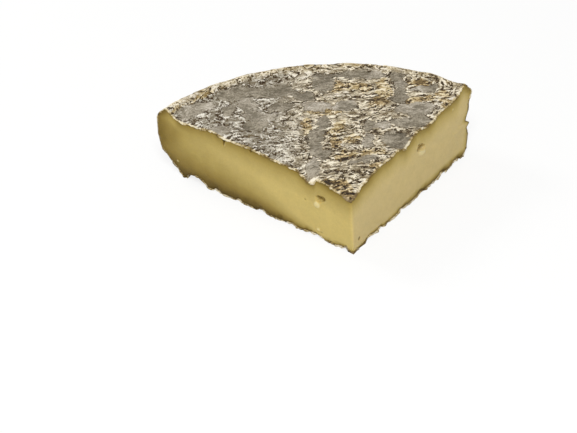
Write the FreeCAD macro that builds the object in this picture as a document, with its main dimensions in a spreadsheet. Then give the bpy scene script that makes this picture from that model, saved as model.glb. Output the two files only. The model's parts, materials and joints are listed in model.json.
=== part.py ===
import FreeCAD, Part
import math
import os
import Sketcher

# A quarter of a Saint-Nectaire wheel, lying on its flat base. The wheel was pressed round in a mould, its top
# sank into a shallow dish with a raised lip, its side slumped, and two knife cuts took the quarter out of it.
# The wheel is built about its own middle, +Z up, and the tip of the quarter points towards -Y.

# name, millimetres or degrees, meaning
SIZES = [
    ("wheelRadius", 110.0, "outermost reach of the side from the middle of the wheel"),
    ("wheelHeight", 34.2, "thickness in the middle of the wheel"),
    ("bellyDrop", 8.2, "how far below the middle of the top the side reaches furthest out"),
    ("footInset", 8.5, "how far the flat base stays inside the belly"),
    ("dishRise", 2.0, "how much the top climbs from the middle to the foot of the lip"),
    ("topTilt", 1.0, "lean of the top, higher towards +X"),
    ("lipHeight", 3.6, "rise of the lip above the dish"),
    ("lipWidth", 6.0, "width of the climb up the lip"),
    ("lipInset", 7.0, "distance from the belly in to the crest of the lip"),
    ("shoulderSlope", 40.0, "fall of the top outside the lip"),
    ("crestRounding", 1.5, "rounding of the crest of the lip"),
    ("shoulderRounding", 6.0, "rounding where the top turns down into the side"),
    ("slumpInset", 10.7, "how far the slumped heel draws the base in"),
    ("slumpRise", 13.0, "height at which the slumped heel meets the belly"),
    ("slumpOffset", 4.0, "how much deeper the slump is towards -X"),
    ("waistRadius", 22.0, "hollow of the waist in the side, in section"),
    ("waistDrop", 13.2, "how far the waist lies below the middle of the top"),
    ("waistInset", 1.2, "depth of the waist before it leans to one side"),
    ("waistOffset", 4.0, "how much deeper the waist is towards +X"),
    ("cutAngle", 88.0, "angle between the two knife cuts"),
    ("cutOffset", 13.2, "distance from the middle of the wheel to where the cuts meet"),
    ("wedgeTurn", 3.93, "turn of the quarter towards -X"),
    ("tipDrop", 4.7, "how far the top sags at the tip"),
    ("tipDropReach", 34.0, "distance from the tip at which the sag has run out"),
    ("tipDropRadius", 120.0, "bend of the sagging top"),
    ("tipDropRunOut", 3.0, "height above the middle of the top at which the sag is given up"),
    ("tipEyeReach", 18.2, "round eye: distance from the tip"),
    ("tipEyeBelow", 10.1, "round eye: depth below the middle of the top"),
    ("tipEyeHalfWidth", 1.9, "round eye: half its width along the cut"),
    ("tipEyeHalfHeight", 1.4, "round eye: half its height"),
    ("tipEyeDepth", 2.2, "round eye: depth into the paste"),
    ("edgeNickReach", 76.1, "nick under the rind: distance from the tip"),
    ("edgeNickBelow", 1.8, "nick under the rind: depth below the middle of the top"),
    ("edgeNickHalfWidth", 2.6, "nick under the rind: half its width along the cut"),
    ("edgeNickHalfHeight", 0.7, "nick under the rind: half its height"),
    ("edgeNickDepth", 1.2, "nick under the rind: depth into the paste"),
    ("slitEyeReach", 55.7, "flattened eye: distance from the tip"),
    ("slitEyeBelow", 7.8, "flattened eye: depth below the middle of the top"),
    ("slitEyeHalfWidth", 3.6, "flattened eye: half its width along the cut"),
    ("slitEyeHalfHeight", 1.1, "flattened eye: half its height"),
    ("slitEyeDepth", 2.4, "flattened eye: depth into the paste"),
    ("heelNotchInset", 22.4, "crack in the foot: distance in from the belly"),
    ("heelNotchHalfWidth", 6.5, "crack in the foot: half its width along the cut"),
    ("heelNotchHalfHeight", 4.6, "crack in the foot: height above the base"),
    ("heelNotchDepth", 5.0, "crack in the foot: depth into the paste"),
    ("clearOf", 10.0, "how far each cutting shape passes beyond the cheese"),
]

BELLY = "(Sizes.wheelHeight - Sizes.bellyDrop)"
CREST = "Sizes.wheelHeight + Sizes.dishRise + Sizes.lipHeight"
CREST_REACH = "Sizes.wheelRadius - Sizes.lipInset"
UP = FreeCAD.Vector(0, 0, 1)

# the sides of the tip: the cut face towards -X and the one towards +X
LEFT = -1
RIGHT = 1

doc = FreeCAD.newDocument("SaintNectaireQuarter")
sheet = doc.addObject("Spreadsheet::Sheet", "Sizes")


def fill_sheet():
    for row, (alias, number, meaning) in enumerate(SIZES, start=1):
        sheet.set(f"A{row}", alias)
        sheet.set(f"B{row}", str(number))
        sheet.set(f"C{row}", meaning)
        sheet.setAlias(f"B{row}", alias)
    doc.recompute()


def value(expression):
    return float(sheet.evalExpression(expression))


def origin_plane(body, role):
    return next(plane for plane in body.Origin.OriginFeatures if plane.Role == role)


def new_sketch(body, name, role="XZ_Plane"):
    sketch = body.newObject("Sketcher::SketchObject", name)
    sketch.AttachmentSupport = [(origin_plane(body, role), "")]
    sketch.MapMode = "FlatFace"
    return sketch


def bind(sketch, name, constraint, expression):
    sketch.renameConstraint(sketch.addConstraint(constraint), name)
    sketch.setExpression("Constraints." + name, expression)


def arc_between(start, end, radius):
    # the flatter of the two arcs, bowed to the right of the way from start to end when the radius is positive
    chord = end - start
    middle = (start + end) / 2
    across = FreeCAD.Vector(chord.y, -chord.x, 0).normalize()
    sagitta = abs(radius) - (radius**2 - (chord.Length / 2) ** 2) ** 0.5
    crown = middle + across * (sagitta if radius > 0 else -sagitta)
    return Part.Arc(start, crown, end)


def outline(sketch, corners, bends=None):
    # a closed outline through named corners, each given by two expressions; bends holds, for the corner that
    # an arc starts from, the expression of its radius and the side that it bows to
    bends = bends or {}
    names = list(corners)
    points = [FreeCAD.Vector(value(across), value(up), 0) for across, up in corners.values()]
    for index, name in enumerate(names):
        start = points[index]
        end = points[(index + 1) % len(points)]
        if name in bends:
            radius, side = bends[name]
            sketch.addGeometry(arc_between(start, end, side * value(radius)))
        else:
            sketch.addGeometry(Part.LineSegment(start, end))
    first_ends = [end_at(sketch, index, point) for index, point in enumerate(points)]
    for index, name in enumerate(names):
        before = (index - 1) % len(names)
        last_end = 3 - first_ends[before]
        joint = Sketcher.Constraint("Coincident", before, last_end, index, first_ends[index])
        sketch.addConstraint(joint)
        across, up = corners[name]
        place(sketch, name + "Across", "DistanceX", index, first_ends[index], across, -2)
        place(sketch, name + "Up", "DistanceY", index, first_ends[index], up, -1)
        if name in bends:
            radius = bends[name][0]
            bind(sketch, name + "Bend", Sketcher.Constraint("Radius", index, value(radius)), radius)


def end_at(sketch, index, point):
    # which end of an edge, 1 or 2, lies at a point: an arc is kept anticlockwise, whichever way it was drawn
    ends = (1, 2)
    return min(ends, key=lambda end: sketch.getPoint(index, end).distanceToPoint(point))


def place(sketch, name, kind, index, end, expression, axis):
    if expression == "0":
        sketch.addConstraint(Sketcher.Constraint("PointOnObject", index, end, axis))
    else:
        bind(sketch, name, Sketcher.Constraint(kind, -1, 1, index, end, value(expression)), expression)


def revolve(body, kind, name, sketch):
    feature = body.newObject("PartDesign::" + kind, name)
    feature.Profile = sketch
    feature.ReferenceAxis = (sketch, ["V_Axis"])
    feature.Angle = 360
    doc.recompute()
    return feature


def pressed_wheel(body):
    # the side as it leaves the mould, left taller than the cheese: the top is cut to shape afterwards
    sketch = new_sketch(body, "SideProfile")
    corners = {
        "hub": ("0", "0"),
        "foot": ("Sizes.wheelRadius - Sizes.footInset", "0"),
        "belly": ("Sizes.wheelRadius", BELLY),
        "sideTop": ("Sizes.wheelRadius", "Sizes.wheelHeight + Sizes.clearOf"),
        "hubTop": ("0", "Sizes.wheelHeight + Sizes.clearOf"),
    }
    foot_bend = f"(Sizes.footInset^2 + {BELLY}^2) / (2 * Sizes.footInset)"
    outline(sketch, corners, {"foot": (foot_bend, 1)})
    return revolve(body, "Revolution", "PressedWheel", sketch)


def dished_top(body):
    # everything above the dish, the lip and the slope outside it is taken off, about a slightly leaning axis
    sketch = new_sketch(body, "TopProfile")
    sketch.AttachmentOffset = FreeCAD.Placement(FreeCAD.Vector(), FreeCAD.Rotation(UP, 1))
    sketch.setExpression(".AttachmentOffset.Rotation.Angle", "Sizes.topTilt")
    slope_end = f"{CREST} - (Sizes.lipInset + Sizes.clearOf) * tan(Sizes.shoulderSlope)"
    corners = {
        "dishHub": ("0", "Sizes.wheelHeight"),
        "dishRim": (f"{CREST_REACH} - Sizes.lipWidth", "Sizes.wheelHeight + Sizes.dishRise"),
        "crest": (CREST_REACH, CREST),
        "slopeEnd": ("Sizes.wheelRadius + Sizes.clearOf", slope_end),
        "outside": ("Sizes.wheelRadius + Sizes.clearOf", f"{CREST} + Sizes.clearOf"),
        "hubTop": ("0", f"{CREST} + Sizes.clearOf"),
    }
    lip_bend = "(Sizes.lipWidth^2 + Sizes.lipHeight^2) / (2 * Sizes.lipHeight)"
    outline(sketch, corners, {"dishRim": (lip_bend, 1)})
    return revolve(body, "Groove", "DishedTop", sketch)


def slumped_heel(body):
    # a cone about an axis off the middle draws the base in, most on the side away from the axis
    sketch = new_sketch(body, "HeelProfile")
    sketch.AttachmentOffset = FreeCAD.Placement(FreeCAD.Vector(1, 0, 0), FreeCAD.Rotation())
    sketch.setExpression(".AttachmentOffset.Base.x", "Sizes.slumpOffset")
    run = "Sizes.slumpInset / Sizes.slumpRise"
    corners = {
        "low": (f"Sizes.wheelRadius - Sizes.slumpInset - Sizes.clearOf * {run}", "-Sizes.clearOf"),
        "lowOut": ("Sizes.wheelRadius + 2 * Sizes.clearOf", "-Sizes.clearOf"),
        "highOut": ("Sizes.wheelRadius + 2 * Sizes.clearOf", "Sizes.slumpRise + Sizes.slumpOffset"),
        "high": (f"Sizes.wheelRadius + Sizes.slumpOffset * {run}", "Sizes.slumpRise + Sizes.slumpOffset"),
    }
    outline(sketch, corners)
    return revolve(body, "Groove", "SlumpedHeel", sketch)


def side_waist(body):
    # a shallow ring hollow about an axis off the middle the other way
    sketch = new_sketch(body, "WaistProfile")
    sketch.AttachmentOffset = FreeCAD.Placement(FreeCAD.Vector(-1, 0, 0), FreeCAD.Rotation())
    sketch.setExpression(".AttachmentOffset.Base.x", "-Sizes.waistOffset")
    reach = "Sizes.wheelRadius + Sizes.waistRadius - Sizes.waistInset"
    height = "Sizes.wheelHeight - Sizes.waistDrop"
    radius = "Sizes.waistRadius"
    sketch.addGeometry(Part.Circle(FreeCAD.Vector(value(reach), value(height), 0), UP, value(radius)))
    place(sketch, "waistAcross", "DistanceX", 0, 3, reach, -2)
    place(sketch, "waistUp", "DistanceY", 0, 3, height, -1)
    bind(sketch, "waistBend", Sketcher.Constraint("Radius", 0, value(radius)), radius)
    return revolve(body, "Groove", "SideWaist", sketch)


def sagging_tip(body):
    # the top sags towards the tip, about the upright line in which the knife cuts meet
    sketch = new_sketch(body, "SagProfile")
    sketch.AttachmentOffset = FreeCAD.Placement(FreeCAD.Vector(1, 0, 0), FreeCAD.Rotation())
    sketch.setExpression(".AttachmentOffset.Base.x", "Sizes.cutOffset")
    above = "Sizes.wheelHeight + Sizes.tipDropRunOut + Sizes.clearOf"
    corners = {
        "tip": ("0", "Sizes.wheelHeight - Sizes.tipDrop"),
        "runOut": ("Sizes.tipDropReach", "Sizes.wheelHeight + Sizes.tipDropRunOut"),
        "runOutTop": ("Sizes.tipDropReach", above),
        "tipTop": ("0", above),
    }
    outline(sketch, corners, {"tip": ("Sizes.tipDropRadius", -1)})
    return revolve(body, "Groove", "SaggingTip", sketch)


def arm(side):
    # the way from the tip along a cut face: its parts along X and Y, and its angle from +X
    angle = f"(Sizes.cutAngle / 2 - {side} * Sizes.wedgeTurn)"
    return f"({side} * sin({angle}))", f"cos({angle})", f"90 - {side} * {angle}"


def arm_reach(side):
    # from the tip along a cut face to the belly of the wheel
    along_x, _, _ = arm(side)
    nearest = f"(-Sizes.cutOffset * {along_x})"
    return f"({nearest} + sqrt(Sizes.wheelRadius^2 - Sizes.cutOffset^2 + {nearest}^2))"


def knife_cuts(body):
    # all of the wheel but the quarter, in one outline that folds back to the tip
    sketch = new_sketch(body, "KnifePlan", "XY_Plane")
    long = "2 * Sizes.wheelRadius"
    wide = "3 * Sizes.wheelRadius"
    left_x, left_y, _ = arm(LEFT)
    right_x, right_y, _ = arm(RIGHT)
    left_up = f"{long} * {left_y}"
    right_up = f"{long} * {right_y}"
    corners = {
        "tip": ("Sizes.cutOffset", "0"),
        "leftEnd": (f"Sizes.cutOffset + {long} * {left_x}", left_up),
        "leftTop": (f"-{wide}", left_up),
        "leftLow": (f"-{wide}", f"-{wide}"),
        "rightLow": (wide, f"-{wide}"),
        "rightTop": (wide, right_up),
        "rightEnd": (f"Sizes.cutOffset + {long} * {right_x}", right_up),
    }
    outline(sketch, corners)
    pocket = body.newObject("PartDesign::Pocket", "KnifeCuts")
    pocket.Profile = sketch
    pocket.Type = "ThroughAll"
    pocket.Midplane = True
    doc.recompute()
    return pocket


def open_eye(body, name, side, reach, height):
    # an ellipsoid sunk into the cut face, its middle on the face and its second axis along it
    along_x, along_y, turn = arm(side)
    eye = body.newObject("PartDesign::SubtractiveEllipsoid", name[0].upper() + name[1:])
    eye.AttachmentSupport = [(origin_plane(body, "XY_Plane"), "")]
    eye.MapMode = "FlatFace"
    eye.AttachmentOffset = FreeCAD.Placement(FreeCAD.Vector(), FreeCAD.Rotation(UP, 1))
    eye.setExpression(".AttachmentOffset.Base.x", f"Sizes.cutOffset + {reach} * {along_x}")
    eye.setExpression(".AttachmentOffset.Base.y", f"{reach} * {along_y}")
    eye.setExpression(".AttachmentOffset.Base.z", height)
    eye.setExpression(".AttachmentOffset.Rotation.Angle", turn)
    eye.setExpression("Radius1", f"Sizes.{name}HalfHeight")
    eye.setExpression("Radius2", f"Sizes.{name}HalfWidth")
    eye.setExpression("Radius3", f"Sizes.{name}Depth")
    doc.recompute()
    return eye


def rounded_ring(body, name, size, reach, height):
    # rounds the ring edge of the top that lies nearest to a reach and a height, both expressions
    wanted_reach = value(reach)
    wanted_height = value(height)

    def gap(edge):
        point = edge.valueAt(edge.FirstParameter)
        return abs(math.hypot(point.x, point.y) - wanted_reach) + abs(point.z - wanted_height)

    previous = body.Tip
    edges = previous.Shape.Edges
    nearest = min(range(len(edges)), key=lambda index: gap(edges[index]))
    fillet = body.newObject("PartDesign::Fillet", name)
    fillet.Base = (previous, [f"Edge{nearest + 1}"])
    fillet.setExpression("Radius", size)
    doc.recompute()
    return fillet


def cheese_features(body):
    # the features in the order in which the cheese gets them
    yield pressed_wheel(body)
    yield dished_top(body)
    yield rounded_ring(body, "RoundedCrest", "Sizes.crestRounding", CREST_REACH, CREST)
    shoulder = f"{CREST} - Sizes.lipInset * tan(Sizes.shoulderSlope)"
    yield rounded_ring(body, "RoundedShoulder", "Sizes.shoulderRounding", "Sizes.wheelRadius", shoulder)
    yield slumped_heel(body)
    yield side_waist(body)
    yield knife_cuts(body)
    yield sagging_tip(body)
    for name, side in (("tipEye", LEFT), ("edgeNick", LEFT), ("slitEye", RIGHT)):
        height = f"Sizes.wheelHeight - Sizes.{name}Below"
        yield open_eye(body, name, side, f"Sizes.{name}Reach", height)
    yield open_eye(body, "heelNotch", LEFT, f"({arm_reach(LEFT)} - Sizes.heelNotchInset)", "0")


def build_cheese(name):
    body = doc.addObject("PartDesign::Body", name)
    body.Label = name
    doc.recompute()
    volume = math.inf
    for feature in cheese_features(body):
        left = feature.Shape.Volume
        if not left < volume:
            raise RuntimeError(f"{feature.Name} takes nothing off")
        print(f"{feature.Name}: {left / 1000:.2f} cm3")
        volume = left
    return body


def stand_at_origin(body):
    # the origin is on the base, under the middle of the cheese's box
    box = body.Shape.optimalBoundingBox(True, False)
    body.Placement.Base = FreeCAD.Vector(-box.Center.x, -box.Center.y, -box.ZMin)
    doc.recompute()


def check_document():
    for item in doc.Objects:
        if {"Invalid", "Error"} & set(item.State):
            raise RuntimeError(f"{item.Name} did not build: {item.State}")


def write_step(body):
    shape = body.Shape
    if shape.isNull() or not shape.isValid() or len(shape.Solids) != 1:
        raise RuntimeError(f"{body.Label} is not one sound solid")
    os.makedirs("parts", exist_ok=True)
    shape.exportStep(f"parts/{body.Label}.step")
    box = shape.optimalBoundingBox(True, False)
    print(f"{body.Label}: {box.XLength:.1f} x {box.YLength:.1f} x {box.ZLength:.1f} mm")


fill_sheet()
cheese = build_cheese("quarter_wheel")
stand_at_origin(cheese)
check_document()
write_step(cheese)
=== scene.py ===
# A quarter of a Saint-Nectaire wheel: a grey mould rind over soft ripened paste.
import json
import math
import bpy
from mathutils import Matrix, Vector

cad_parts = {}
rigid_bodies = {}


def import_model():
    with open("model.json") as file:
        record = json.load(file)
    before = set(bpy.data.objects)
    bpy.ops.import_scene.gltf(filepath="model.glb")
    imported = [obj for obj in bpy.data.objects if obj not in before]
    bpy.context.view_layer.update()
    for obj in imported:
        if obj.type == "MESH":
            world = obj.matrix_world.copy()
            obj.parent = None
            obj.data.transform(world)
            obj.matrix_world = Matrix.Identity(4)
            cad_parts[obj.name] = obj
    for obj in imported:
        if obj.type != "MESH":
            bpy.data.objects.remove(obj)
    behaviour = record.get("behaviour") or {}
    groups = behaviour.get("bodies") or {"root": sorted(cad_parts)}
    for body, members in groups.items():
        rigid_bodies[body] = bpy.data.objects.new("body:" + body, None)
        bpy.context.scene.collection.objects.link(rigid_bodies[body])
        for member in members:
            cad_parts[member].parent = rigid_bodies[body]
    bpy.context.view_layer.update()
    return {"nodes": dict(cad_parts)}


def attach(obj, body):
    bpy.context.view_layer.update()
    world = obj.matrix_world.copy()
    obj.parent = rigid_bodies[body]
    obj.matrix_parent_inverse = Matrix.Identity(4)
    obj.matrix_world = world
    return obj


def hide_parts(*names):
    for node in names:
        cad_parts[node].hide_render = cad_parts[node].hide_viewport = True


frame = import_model()
mm = 0.001  # every size below is in millimetres, the scene is in metres
samePoint = 0.001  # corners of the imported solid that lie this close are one
noHeight = (1, 1, 0)  # times a place, this drops its height
noiseMiddle = (0.5, 0.5, 0.5)  # what a noise's colour swings around
smoothly = {"interpolation_type": "SMOOTHSTEP"}  # for a Map Range that eases in and out

# where the knife went: the two cuts meet at the tip and run back to the heels
cutPlan = {"leftCut": 137.93, "rightCut": 49.93, "tipToMiddle": 13.2, "wheelRadius": 110.0}

# In the dictionaries below a pair is from and to; a four is from, to and the values at both ends.
# Named shares are written as in addShares: what, its middle, its share.


def hexColor(code):
    # sRGB hex to the linear values that the shader wants
    parts = [int(code[i:i + 2], 16) / 255 for i in (1, 3, 5)]
    linear = [c / 12.92 if c <= 0.04045 else ((c + 0.055) / 1.055) ** 2.4 for c in parts]
    return (*linear, 1.0)


def addNode(tree, kind, inputs=(), **settings):
    # one node with its settings, a shader node unless its kind says Node
    # its inputs come in order or by name, as values, sockets or nodes
    node = tree.nodes.new(kind if "Node" in kind else "ShaderNode" + kind)
    for name, value in settings.items():
        setattr(node, name, value)
    for name, value in inputs.items() if isinstance(inputs, dict) else enumerate(inputs):
        if isinstance(value, bpy.types.Node):
            value = [s for s in value.outputs if s.enabled][0]
        if isinstance(value, bpy.types.NodeSocket):
            tree.links.new(value, node.inputs[name])
        else:
            node.inputs[name].default_value = value
    return node


def addShares(tree, start, shares, look=None):
    # start, plus how far each part is from its middle times its share; look holds the parts that are named
    total = start - sum(middle * share for part, middle, share in shares)
    for part, middle, share in shares:
        part = look[part] if isinstance(part, str) else part
        total = addNode(tree, "Math", [part, share, total], operation="MULTIPLY_ADD")
    return total


def pickOnly(piece):
    if bpy.context.mode != "OBJECT":
        bpy.ops.object.mode_set(mode="OBJECT")
    bpy.ops.object.select_all(action="DESELECT")
    piece.select_set(True)
    bpy.context.view_layer.objects.active = piece


def applyModifier(piece, kind, **settings):
    pickOnly(piece)
    modifier = piece.modifiers.new(kind.lower(), kind)
    for name, value in settings.items():
        setattr(modifier, name, value)
    bpy.ops.object.modifier_apply(modifier=modifier.name)


def mergeClose(piece, distance):
    # points closer together than this many millimetres become one
    pickOnly(piece)
    bpy.ops.object.mode_set(mode="EDIT")
    bpy.ops.mesh.select_all(action="SELECT")
    bpy.ops.mesh.remove_doubles(threshold=distance * mm)
    bpy.ops.object.mode_set(mode="OBJECT")


def copyCheese(name):
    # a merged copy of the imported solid, to be worked on as its own piece
    pickOnly(frame["nodes"]["quarter_wheel"])
    bpy.ops.object.duplicate()
    piece = bpy.context.active_object
    piece.parent = None
    piece.name = name
    piece.data.name = name
    piece.data.materials.clear()
    mergeClose(piece, samePoint)
    return piece


def keepJoined(piece):
    # only what is joined to the highest point stays
    pickOnly(piece)
    bpy.ops.object.mode_set(mode="EDIT")
    bpy.ops.mesh.select_all(action="DESELECT")
    bpy.ops.object.mode_set(mode="OBJECT")
    max(piece.data.vertices, key=lambda v: v.co.z).select = True
    bpy.ops.object.mode_set(mode="EDIT")
    bpy.ops.mesh.select_linked()
    bpy.ops.mesh.select_all(action="INVERT")
    bpy.ops.mesh.delete(type="VERT")
    bpy.ops.object.mode_set(mode="OBJECT")


def countTriangles(piece):
    return sum(len(p.vertices) - 2 for p in piece.data.polygons)


def findTip():
    # the front corner is the point of the solid that lies furthest forward, taken on the floor
    points = [v.co for v in frame["nodes"]["quarter_wheel"].data.vertices]
    front = min(points, key=lambda p: p.y)
    return Vector((front.x, front.y, 0))


def wayAt(degrees):
    # the level direction at this angle from +X
    return Vector((math.cos(math.radians(degrees)), math.sin(math.radians(degrees)), 0))


tip = findTip()
# along each cut from the tip to the heel, and outward from it
cutWays = {"left": wayAt(cutPlan["leftCut"]), "right": wayAt(cutPlan["rightCut"])}
cutFaces = {
    "left": Vector((-cutWays["left"].y, cutWays["left"].x, 0)),
    "right": Vector((cutWays["right"].y, -cutWays["right"].x, 0)),
}
wheelMiddle = tip - Vector((cutPlan["tipToMiddle"] * mm, 0, 0))


def newTree(name):
    # an empty geometry tree with its way in and its way out
    tree = bpy.data.node_groups.new(name, "GeometryNodeTree")
    tree.interface.new_socket("Geometry", in_out="INPUT", socket_type="NodeSocketGeometry")
    tree.interface.new_socket("Geometry", in_out="OUTPUT", socket_type="NodeSocketGeometry")
    return tree, addNode(tree, "NodeGroupInput")


def newMaterial(name):
    material = bpy.data.materials.new(name)
    material.use_nodes = True
    material.node_tree.nodes.clear()
    return material, material.node_tree


def toMillimetres(tree, vector):
    return addNode(tree, "VectorMath", {0: vector, "Scale": 1 / mm}, operation="SCALE")


def heightOf(tree, place):
    return addNode(tree, "SeparateXYZ", [place]).outputs["Z"]


def alongFrom(tree, place, way):
    # how far a place lies from the tip in one direction, in millimetres
    fromTip = addNode(tree, "VectorMath", [place, tip / mm], operation="SUBTRACT")
    return addNode(tree, "VectorMath", [fromTip, way], operation="DOT_PRODUCT")


def nearCut(tree, place, face, depths):
    # 1 at a cut and 0 deeper in the cheese; depths are negative inside
    return addNode(tree, "MapRange", [alongFrom(tree, place, face), *depths], **smoothly)


def reachInOval(tree, place, middle, halves):
    # 0 in the middle of an oval and 1 on its outline
    local = addNode(tree, "VectorMath", [place, (*middle, 0)], operation="SUBTRACT")
    scaled = addNode(tree, "VectorMath", [local, (1 / halves[0], 1 / halves[1], 0)], operation="MULTIPLY")
    return addNode(tree, "VectorMath", [scaled], operation="LENGTH")


def ridge(tree, start, shares, half, height):
    # this high where the shares add up to nothing, and 0 beyond half to either side
    off = addShares(tree, start, shares)
    off = addNode(tree, "Math", [off], operation="ABSOLUTE")
    return addNode(tree, "MapRange", [off, 0.0, half, height, 0.0], **smoothly)


def movePoints(tree, shape, pushes):
    # every point moves by the sum of its pushes, and the tree ends there
    offset = pushes[0]
    for push in pushes[1:]:
        offset = addNode(tree, "VectorMath", [offset, push], operation="ADD")
    metres = addNode(tree, "VectorMath", {0: offset, "Scale": mm}, operation="SCALE")
    moved = addNode(tree, "GeometryNodeSetPosition", {0: shape, "Offset": metres})
    addNode(tree, "NodeGroupOutput", [moved])


knifeLook = {"waveLength": 26.0, "wave": 0.9, "bulge": 1.1, "height": 34.0}


def knifeSwell(tree, place):
    # the soft paste bulges between its rinds, and the knife wandered a little
    height = heightOf(tree, place)
    share = addNode(tree, "Math", [height, knifeLook["height"]], operation="DIVIDE")
    rest = addNode(tree, "Math", [1.0, share], operation="SUBTRACT")
    belly = addNode(tree, "Math", [share, rest], operation="MULTIPLY")
    belly = addNode(tree, "Math", [belly, 0.0], operation="MAXIMUM")  # a quarter at half height
    wander = addNode(tree, "TexNoise", {
        "Vector": place, "Scale": 1 / knifeLook["waveLength"], "Detail": 1.0})
    return addShares(tree, 0.0, [(belly, 0.0, 4 * knifeLook["bulge"]), (wander, 0.5, knifeLook["wave"])])


# a tongue of skin hangs over the left cut: its reaches from the tip, its depth, its heights, how far it
# drops and how far it stands out
tongueSizes = {
    "taper": (31.5, 23.0),
    "end": (19.6, 21.6),
    "depth": (-3.5, -0.5),
    "height": (18.0, 29.0),
    "drop": 2.3,
    "out": 0.9,
}


def tongueShare(tree, place):
    # it hangs lower and lower towards the tip, then ends at once
    reach = alongFrom(tree, place, cutWays["left"])
    height = heightOf(tree, place)
    depth = alongFrom(tree, place, cutFaces["left"])
    total = 1.0
    for value, name in ((reach, "taper"), (reach, "end"), (depth, "depth"), (height, "height")):
        share = addNode(tree, "MapRange", [value, *tongueSizes[name]], **smoothly)
        total = addNode(tree, "Math", [share, total], operation="MULTIPLY")
    return total


# how the top lies along each cut: reach from the tip, half length, rise
topLay = {
    "left": [(26, 7, -1.0), (60, 26, 0.5), (84, 7, 1.0), (103, 12, -1.5)],
    "right": [(9, 6, 0.7), (30, 8, -0.9), (43.5, 6.5, -2.2), (53.5, 6, 1.5), (65, 8, -1.2), (93.5, 5, 1.0)],
}

# the swells of the top and the tears at the foot of the cuts
topLook = {
    "swellLength": 17.0,
    "swell": 2.4,
    "heights": (14.0, 30.0),
    "tearLength": 7.0,
    "tears": (0.46, 0.66),
    "tearHeights": (7.0, 0.5, 0.0, 1.5),
    "tearDepths": (-5.0, -0.8),
}


def topRise(tree, place):
    # the top isn't flat: it swells and sinks a little, most where it was cut
    swell = addNode(tree, "TexNoise", {
        "Vector": place, "Scale": 1 / topLook["swellLength"], "Detail": 1.0})
    rise = addShares(tree, 0.0, [(swell, 0.5, topLook["swell"])])
    flat = addNode(tree, "VectorMath", [place, noHeight], operation="MULTIPLY")
    for cut, way in cutWays.items():
        for reach, size, up in topLay[cut]:
            spot = (tip / mm + way * reach) * Vector(noHeight)
            apart = addNode(tree, "VectorMath", [flat, spot], operation="DISTANCE")
            lift = addNode(tree, "MapRange", [apart, 0.0, size, up, 0.0], **smoothly)
            rise = addNode(tree, "Math", [rise, lift], operation="ADD")
    height = heightOf(tree, place)
    onTop = addNode(tree, "MapRange", [height, *topLook["heights"]], **smoothly)
    rise = addNode(tree, "Math", [rise, onTop], operation="MULTIPLY")
    rise = addShares(tree, 0.0, [(rise, 0.0, 1.0), (tongueShare(tree, place), 0.0, -tongueSizes["drop"])])
    # and the foot of each cut is torn a little, here and there
    torn = addNode(tree, "TexNoise", {
        "Vector": place, "Scale": 1 / topLook["tearLength"], "Detail": 2.0})
    torn = addNode(tree, "MapRange", [torn, *topLook["tears"]], **smoothly)
    low = addNode(tree, "MapRange", [height, *topLook["tearHeights"]], **smoothly)
    torn = addNode(tree, "Math", [torn, low], operation="MULTIPLY")
    for face in cutFaces.values():
        near = nearCut(tree, place, face, topLook["tearDepths"])
        rise = addNode(tree, "Math", [near, torn, rise], operation="MULTIPLY_ADD")
    return rise


# the side is pinched at the right heel, with a nub of rind below: height, half height, push outward
heelShape = [(21.5, 6.5, -2.4), (13.0, 12.0, -3.2), (29.0, 6.0, -1.4), (18.4, 2.2, 2.4)]
heelSizes = {"depths": (-28.0, -2.0), "outward": (80.0, 104.0)}  # from the cut, from the wheel's middle


def heelPush(tree, place):
    # how the right heel stands in or out, most at the cut and nothing further round the wheel
    fromMiddle = addNode(tree, "VectorMath", [place, wheelMiddle / mm], operation="SUBTRACT")
    flat = addNode(tree, "VectorMath", [fromMiddle, noHeight], operation="MULTIPLY")
    outWay = addNode(tree, "VectorMath", [flat], operation="NORMALIZE")
    out = addNode(tree, "VectorMath", [flat], operation="LENGTH")
    height = heightOf(tree, place)
    push = 0.0
    for middle, half, amount in heelShape:
        bump = ridge(tree, 0.0, [(height, middle, 1.0)], half, amount)
        push = addNode(tree, "Math", [bump, push], operation="ADD")
    near = nearCut(tree, place, cutFaces["right"], heelSizes["depths"])
    outer = addNode(tree, "MapRange", [out, *heelSizes["outward"]], **smoothly)
    for share in (near, outer):
        push = addNode(tree, "Math", [push, share], operation="MULTIPLY")
    return addNode(tree, "VectorMath", {0: outWay, "Scale": push}, operation="SCALE")


pasteSizes = {
    "voxel": 0.64,
    "underRind": 0.65,
    "besideRind": 0.25,
    "cutDepths": (-1.2, -0.5),
    "skin": (0.25, 0.5),  # how much of a face's way must be left over beside the cuts
    "topFacing": (0.4, 0.8),
    "mark": (0.2, 1.1),  # where the slope of a mark lies, counted in its half sizes
}

# small marks of each cut: reach from the tip, height, half length, half height, push outward
pasteMarks = {
    "left": [
        (19.3, 20.6, 2.6, 2.6, 0.8), (16.0, 24.6, 2.1, 1.7, -0.8), (19.6, 5.9, 1.4, 1.2, 0.8),
        (18.3, 4.2, 1.4, 0.9, -0.35), (76.3, 33.4, 0.9, 3.4, -1.9), (75.2, 31.6, 1.0, 1.8, 0.4),
        (107.7, 9.8, 1.2, 1.0, 0.6), (59.6, 34.4, 1.2, 2.2, -1.6), (26.6, 21.0, 1.2, 0.9, -0.4),
    ],
    "right": [
        (54.4, 28.0, 1.5, 0.7, -0.7), (56.8, 27.9, 1.5, 0.75, -0.8), (58.6, 27.2, 1.1, 0.7, -0.4),
        (55.6, 24.4, 4.4, 2.8, 0.6), (83.6, 33.0, 1.1, 0.9, 0.6), (48.7, 5.4, 1.1, 1.0, 0.5),
        (4.5, 5.9, 1.1, 1.6, -0.7),
    ],
}


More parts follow.
